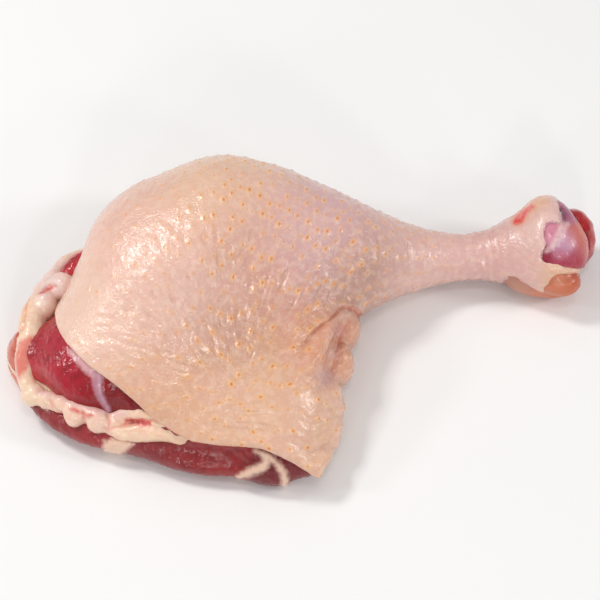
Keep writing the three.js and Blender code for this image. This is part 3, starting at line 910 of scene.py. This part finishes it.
near_bend = np.linalg.norm((points - BEND) / (20, 25, 20), axis=1) < 1
x, up = points[near_bend, 0], up_board(points[near_bend])
rise, shadow = np.zeros(len(x)), np.zeros(len(x))
for stations in FOLD_EDGES:
    distance, strength = beside(stations, x, up)
    over = OVERLAP * np.exp(-((distance / 2.0) ** 2))
    under = -TUCK * np.exp(np.minimum(distance, 0) / 1.5)
    rise += strength * (under + (over - under) * smoothstep(distance, -0.4, 0.3))
    reach = np.where(distance > 0, 0.35, 0.75)
    shadow = np.maximum(shadow, strength**2 * np.exp(-(((distance + 0.3) / reach) ** 2)))
for high, width, stations in SWELLINGS:
    distance, strength = beside(stations, x, up)
    rise += high * strength * np.exp(-((distance / width) ** 2))
# The skin is raised and sunk along the folds, and a painted shadow is kept for the creases under their
# edges.
folds, crease_shadow = np.zeros(len(points)), np.zeros(len(points))
folds[near_bend], crease_shadow[near_bend] = np.maximum(rise, -DEEPEST), shadow


def ring_of(x, centre):
    """Points round the leg's section at x, each two degrees on from the last, and how far round each is."""
    angles = np.linspace(0, 2 * np.pi, 181)
    across, along = np.full(len(angles), 85.0), np.full(len(angles), x)
    for _ in range(60):
        ring = along, centre[0] + across * np.sin(angles), centre[1] + across * np.cos(angles)
        across = np.maximum(across - 0.8 * leg(*ring), 1)
    ring = np.stack([along, centre[0] + across * np.sin(angles), centre[1] + across * np.cos(angles)], 1)
    return ring, np.r_[0, np.cumsum(np.linalg.norm(np.diff(ring, axis=0), axis=1))]


# Feather pits stand in rows round the limb, each row half a step off the last. Steps round the limb are
# a little wider than those along it, and both are uneven.
FIRST_ROW, LAST_ROW = -78.0, 66
WIDER, UNEVEN_ROUND, UNEVEN_ALONG = 1.1, 0.13, 0.1
chance = np.random.default_rng(7)
pits, vigour, room = [], [], []
x, odd = FIRST_ROW, 0
while x < LAST_ROW:
    spacing = np.interp(x, [-78, -50, -20, 5, 25, 50, 66], [7.6, 7.2, 6.0, 5.6, 5.2, 4.2, 3.6])
    centre = np.interp(x, [-60, -20, 10, 30], [-14, -10, 8, 15]), np.interp(x, [-20, 30, 66], [14, 13, 12])
    ring, walked = ring_of(x, centre)
    steps = np.arange(odd / 2, walked[-1] / (spacing * WIDER) - 0.4) * spacing * WIDER
    steps = steps + chance.normal(0, spacing * UNEVEN_ROUND, len(steps))
    row = np.stack([np.interp(steps % walked[-1], walked, ring[:, d]) for d in range(3)], axis=1)
    row[:, 0] += chance.normal(0, spacing * UNEVEN_ALONG, len(row))
    pits.append(row)
    faint = np.interp(x, [-75, -45, -20, 20, 40, 55], [0.3, 0.5, 1.0, 0.9, 0.5, 0.2])
    on_folds = smoothstep(x, 0, 9) * (up_board(row) < 3) * (up_board(row) > -22)
    vigour.append(faint * chance.uniform(0.35, 1.1, len(row)) * (1 - 0.9 * on_folds))
    room.append(np.full(len(row), spacing / 2))
    x, odd = x + spacing / 2, 1 - odd
pits, vigour, room = settle(leg, np.vstack(pits)), np.concatenate(vigour), np.concatenate(room)


def tree_of(places):
    tree = KDTree(len(places))
    for i, place in enumerate(places.tolist()):
        tree.insert(place, i)
    tree.balance()
    return tree


# A pit that fell too close to an earlier one is dropped.
crowd = tree_of(pits)
first_near = [min(i for _, i, _ in crowd.find_range(pit, gap)) for pit, gap in zip(pits.tolist(), room)]
lone = np.array(first_near) == np.arange(len(pits))
pits, vigour = pits[lone], vigour[lone]
tree = tree_of(pits)
nearest = np.array([tree.find(p)[1] for p in points.tolist()])
vigour = vigour[nearest]

# Each pit's bump is drawn out along the stretch of the skin, which spreads like a fan from the front flap.
FAN = np.array([-20, -49])
offset = points - pits[nearest]
stretch = points - [*FAN, 30]
stretch[:, 2] = 0
stretch /= np.linalg.norm(stretch, axis=1)[:, None]
lengthwise = np.sum(offset * stretch, axis=1)
drawn_out = 0.42 * (1 - smoothstep(points[:, 0], 15, 35))
offset -= stretch * (lengthwise * drawn_out)[:, None]
apart = np.linalg.norm(offset, axis=1)

x, y, z = points.T
normals = normals_of(points, faces)

# Crepe wrinkles run up the thigh in the same fan.
away = np.hypot(x - FAN[0], y - FAN[1])
bearing = np.arctan2(x - FAN[0], y - FAN[1])
fan = np.stack([bearing * 18, away / 7, 0 * x], axis=1)
fan_here = smoothstep(away, 9, 17) * (1 - smoothstep(away, 44, 58))
fan_here *= 1 - smoothstep(abs(bearing + 0.2), 0.75, 1.2)
crepe = (0.5 - np.abs(ripple(fan, 1.1, 6))) * 0.85 + ripple(fan, 0.55, 7) * 0.26
# The front hem is a smooth roll, with fine folds running along it, and creases go round the shank.
from_hem = -beyond_cut(x, y, z)
hem_here = smoothstep(x, -34, -12) * (1 - smoothstep(from_hem, 12, 20)) * (y < -20)
hem_folds = ripple(np.stack([from_hem / 1.3, x / 11, 0 * x], axis=1), 1, 8) * 0.45
hem_folds *= smoothstep(from_hem, 2.5, 5)
hem_folds += 0.9 * np.exp(-(((from_hem - 1.8) / 1.6) ** 2)) - 0.5 * np.exp(-(((from_hem - 5.2) / 1.0) ** 2))
around_shank = np.arctan2(y - 16, z - 13) * 10
shank_creases = ripple(np.stack([x / 1.3, around_shank / 5, 0 * x], axis=1), 1, 9) * 0.3
shank_here = smoothstep(x, 8, 25) * (1 - smoothstep(x, 62, 72))

PIT_RISE, VIGOUR_RISE, PIT_RADIUS = 0.12, 0.33, 0.85
bumps = (PIT_RISE + VIGOUR_RISE * vigour) * np.exp(-((apart / PIT_RADIUS) ** 2))
bumps *= 1 - smoothstep(x, 62, 68)
pebbles = 0.06 + 0.07 * smoothstep(ripple(points, 14, 15), -0.3, 0.3)
swells = 0.3 * ripple(points, 13, 10) + 0.05 * ripple(points, 4.5, 11) + pebbles * ripple(points, 1.15, 12)
up = up_board(points)
rim = np.exp(-np.maximum(from_hem, 0) / 1.3)
collar = rim * smoothstep(x, 76, 78)
thin_edge = -collar * smoothstep(up, 18, 20) - rim * (smoothstep(x, 58, 62) - smoothstep(x, 70, 74))
lip = 0.7 * np.exp(-(((up - 16.3) / 1.4) ** 2)) * smoothstep(x, 78, 83)
height = swells + bumps + crepe * fan_here + hem_folds * hem_here + shank_creases * shank_here
height += folds + thin_edge + lip
points = points + normals * (height * surface)[:, None]

# The skin's colours on the board, partly painted light: lighter at the upper left of the thigh, where the
# lamps' light and highlights fall, and darker in the hollow between the thigh's two swells (-26, -4), on the
# drumstick's right flank (18, 14) and along the valley between the folds at the bend.
SKIN_TINTS_AND_PAINTED_LIGHT = [
    (-66, 4, 12, (242, 205, 185)),
    (-50, 20, 14, (237, 190, 173)),
    (-25, 46, 14, (233, 191, 163)),
    (-36, 6, 9, (226, 187, 176)),
    (0, 30, 12, (217, 175, 178)),
    (-14, 18, 10, (208, 153, 132)),
    (-26, -4, 9, (194, 146, 127)),
    (-40, -22, 12, (222, 171, 139)),
    (-33, -36, 5, (238, 186, 154)),
    (-14, -24, 10, (228, 181, 151)),
    (4, -8, 7, (216, 152, 120)),
    (6, -32, 9, (226, 180, 152)),
    (18, 14, 8, (181, 137, 121)),
    (42, 21, 12, (224, 182, 174)),
    (62, 22, 7, (217, 170, 166)),
    (76, 28, 6, (232, 193, 183)),
    (84, 17, 3, (230, 183, 147)),
    (72, 37, 2.5, (228, 155, 117)),
    (77.4, 39.4, 1.6, (236, 176, 134)),
    (11.3, -3.5, 1.3, (202, 145, 147)),
    (9.3, -10, 1.4, (198, 147, 153)),
    (7.2, -17.5, 2.0, (200, 153, 161)),
    (15.5, -3.2, 2.0, (216, 153, 119)),
    (13.4, -14.5, 2.0, (216, 149, 113)),
    (4.6, -8.5, 1.8, (218, 159, 137)),
    (7.6, -8.4, 1.2, (214, 163, 119)),
]
tint = shades(points, SKIN_TINTS_AND_PAINTED_LIGHT)
# A slit in the skin above the hock shows red; only the side that faces the board has it.
slit_line = [(70.4, 31.9, 0.2), (71.4, 32.9, 0.7), (72.7, 34.5, 0.55), (73.9, 36, 0.25), (75.6, 37.3, 0.0)]
toward_board = z * np.sin(BOARD_TILT) - y * np.cos(BOARD_TILT)
slit = np.where(toward_board > 1, np.maximum(off_strips(points, slit_line), 0), np.inf)
for share, colour in [
    # Painted shade in the hollows between the crepe wrinkles.
    (0.5 * smoothstep(-crepe, -0.1, 0.2) * fan_here, (196, 138, 110)),  # between the wrinkles
    # Painted shadow in the creases under the folds' edges.
    (0.8 * crease_shadow, (206, 98, 56)),
    (0.8 * collar * smoothstep(up, 19, 22), (216, 158, 172)),
    (np.exp(-(slit**2)), (234, 138, 96)),
    (np.exp(-((slit / 0.5) ** 2)), (226, 8, 16)),
]:
    tint += (np.array(linear(*colour)) - tint) * share[:, None]

skin_finish = Finish("pale_plucked_skin")
base = skin_finish.mark("tint", "Color")
cloud = skin_finish.mottle(9, 3.0)
base = skin_finish.mix(cloud.under(0.47, 0.2) * 0.25, base, linear(226, 176, 164))
base = skin_finish.mix(skin_finish.mottle(2.2, 4.0).under(0.46, 0.2) * 0.2, base, linear(250, 224, 202))
strength = skin_finish.mark("vigour")
offset_mark = {0: skin_finish.mark("pit_offset", "Vector")}
off_pit = skin_finish.node("VectorMath", {"operation": "LENGTH"}, offset_mark).part("Value")
core = off_pit + 0.5 * skin_finish.mottle(1.1, 3.0) - 0.25 - 0.15 * strength
near = skin_finish.mark("pit_distance").under(2.2, 0.3)
base = skin_finish.mix(core.under(0.75, 1.3) * near * strength * 0.6, base, linear(244, 190, 128))
base = skin_finish.mix(core.under(0.22, 0.35) * near * strength * 0.9, base, linear(222, 132, 56))
sheen = 0.1 + 0.17 * skin_finish.mottle(2.2, 3.0)
sparkle = skin_finish.relief(skin_finish.mottle(0.7, 1.0), 0.12, 0.7)
pores = skin_finish.relief(skin_finish.mottle(0.75, 2.0), 0.25, under=sparkle)
skin_finish.flesh(base, sheen, pores, 2.2, wet=0.24, film=0.14, gloss=0.65, tint=(1.0, 0.45, 0.3))
marks = {"tint": tint, "pit_offset": offset, "pit_distance": apart, "vigour": vigour}
make_piece("skin", points, faces, skin_finish, marks, border)

# ==== The heel pad and the hock meat =====================================================================
# Beside the cartilage sit an orange-tan pad of tendon, under a lip of skin, and a crescent of dark red
# meat that was cut through with the joint.

HOCK_LOW, HOCK_HIGH = (60, -4, -3), (102, 42, 34)
HOCK_CELL = 0.55
HOCK_EDGE = 0.8
PAD_START, PAD_UNDER_SKIN, LIP_GAP = 62, 1.0, 0.2
heel_pad = melt(4, lobe((83.4, 12.8, 8.7), (9.3, 8.4, 8.6)), lobe((75.6, 12, 8.6), (6.8, 5.6, 6.8)))
front_swell = lobe((85.5, 5.9, 13), (6.3, 4.6, 4.8))
hock_meat = lobe((90.2, 23.2, 13.2), (8, 10.2, 11))


def tendon_pad(x, y, z):
    """A cushion under the skin's lip, filling the joint below the cartilage."""
    joined = blend_min(2, heel_pad(x, y, z), leg(x, y, z) + PAD_UNDER_SKIN)
    filling = blend_min(2, joined, front_swell(x, y, z))
    below_lip = board_height(y, z) - PAD_TOP - LIP_GAP
    return blend_max(HOCK_EDGE, filling, below_lip, PAD_START - x, -SINK - bone(x, y, z), -z)


def hock_flesh(x, y, z):
    return blend_max(HOCK_EDGE, hock_meat(x, y, z), -SINK - bone(x, y, z), -SINK - heel_pad(x, y, z), -z)


points, faces = net(tendon_pad, HOCK_LOW, HOCK_HIGH, HOCK_CELL)
points = raised(points, faces, 0.2 * ripple(points, 3, 13))
# The pad's orange-tan colours, darker on its lower rows: partly its own colour, partly painted shade on its
# underside.
pad_tints_and_shade = shades(points, [
    (84, 13, 2.2, (214, 138, 106)),
    (83, 9.5, 2.2, (200, 116, 86)),
    (87, 9, 3, (198, 104, 64)),
    (91, 14, 3, (190, 84, 62)),
    (78, 8, 3, (206, 116, 82)),
    (73, 11, 3, (180, 126, 110)),
    (72, 9, 2, (200, 152, 132)),
])
pad_finish = Finish("orange_tan_tendon")
amber = pad_finish.mark("tint", "Color")
amber = pad_finish.mix(pad_finish.mottle(2.5, 3.0).under(0.45, 0.3) * 0.4, amber, linear(206, 120, 84))
grain = pad_finish.relief(pad_finish.mottle(0.8, 3.0), 0.12, 0.5)
pad_finish.flesh(amber, 0.2 + 0.25 * pad_finish.mottle(1.3), grain, 2.0, wet=0.15)
make_piece("tendon_pad", points, faces, pad_finish, {"tint": pad_tints_and_shade})

points, faces = net(hock_flesh, HOCK_LOW, HOCK_HIGH, HOCK_CELL)
points = raised(points, faces, 0.3 * ripple(points, 2.5, 14))
hock_tints = shades(points, [
    (88.4, 35, 2, (190, 40, 44)),
    (90.6, 31.5, 1.5, (136, 2, 14)),
    (93, 26, 1.5, (104, 0, 8)),
    (94.5, 31, 2, (186, 14, 26)),
    (97, 25, 2, (190, 24, 32)),
    (94, 19, 3, (160, 16, 26)),
])
marks = {"tint": hock_tints, "moist": np.ones(len(points))}
make_piece("hock_flesh", points, faces, red_meat("cut_hock_meat", {}, wet=0.2), marks)

# ==== Floor, light and camera ============================================================================
# A plain pale table in a white room. The key lamp is high at the back left; weaker ones overhead, at each
# side and along the front give wet flesh its glints.

table = bpy.data.meshes.new("table")
table.from_pydata([(-3, -3, 0), (3, -3, 0), (3, 3, 0), (-3, 3, 0)], [], [(0, 1, 2, 3)])
floor = bpy.data.objects.new("floor", table)
bpy.context.scene.collection.objects.link(floor)
floor_finish = Finish("pale_table")
paint = floor_finish.node(
    "BsdfPrincipled", {}, {"Base Color": linear(246, 246, 246), "Roughness": 0.9, "Specular IOR Level": 0.1}
)
floor_finish.node("OutputMaterial", {}, {"Surface": paint.part("BSDF")})
table.materials.append(floor_finish.material)

WARM_WHITE, WHITE = (1.0, 0.985, 0.96), (1.0, 0.99, 0.98)
for name, place, size, watts, shade in [
    ("key", (-0.5, 0.24, 0.83), 0.18, 3.6, WARM_WHITE),
    ("overhead", (0.06, -0.24, 0.97), 0.1, 0.6, WHITE),
    ("left", (-0.83, -0.06, 0.55), 0.12, 0.9, WHITE),
    ("right", (0.83, -0.08, 0.55), 0.15, 1.8, WHITE),
    ("front", (0.06, -0.88, 0.46), 0.1, 1.1, WHITE),
    ("front_right", (0.56, -0.66, 0.5), 0.09, 0.6, WHITE),
    ("front_left", (-0.3, -0.84, 0.44), 0.09, 0.5, WHITE),
]:
    light = bpy.data.lights.new(name, "AREA")
    light.size, light.energy, light.color = size, watts, shade
    lamp = bpy.data.objects.new(name, light)
    lamp.location = place
    lamp.rotation_euler = (-Vector(place)).to_track_quat("-Z", "Y").to_euler()
    bpy.context.scene.collection.objects.link(lamp)

world = bpy.data.worlds.new("white_room")
bpy.context.scene.world = world
world.use_nodes = True
walls = world.node_tree.nodes["Background"].inputs
walls["Color"].default_value = (1, 1, 1, 1)
walls["Strength"].default_value = 0.42
bpy.context.scene.view_settings.view_transform = "Standard"

# The camera looks straight at the board, at a place given along X, up the board and above the table.
AIM_X, AIM_UP, AIM_Z = -0.65, 6.46, 18
DISTANCE = 0.5385
lens = bpy.data.cameras.new("camera")
lens.lens, lens.sensor_width = 100, 36
lens.clip_start, lens.clip_end = 0.01, 10
camera = bpy.data.objects.new("camera", lens)
aim_y = (AIM_UP - np.cos(BOARD_TILT) * AIM_Z) / np.sin(BOARD_TILT)
aim = Vector((AIM_X, aim_y, AIM_Z)) - Vector(MIDDLE)
back = Vector((0, -np.cos(BOARD_TILT), np.sin(BOARD_TILT)))
camera.location = aim * MM + back * DISTANCE
camera.rotation_euler = (np.pi / 2 - BOARD_TILT, 0, 0)
bpy.context.scene.collection.objects.link(camera)
bpy.context.scene.camera = camera
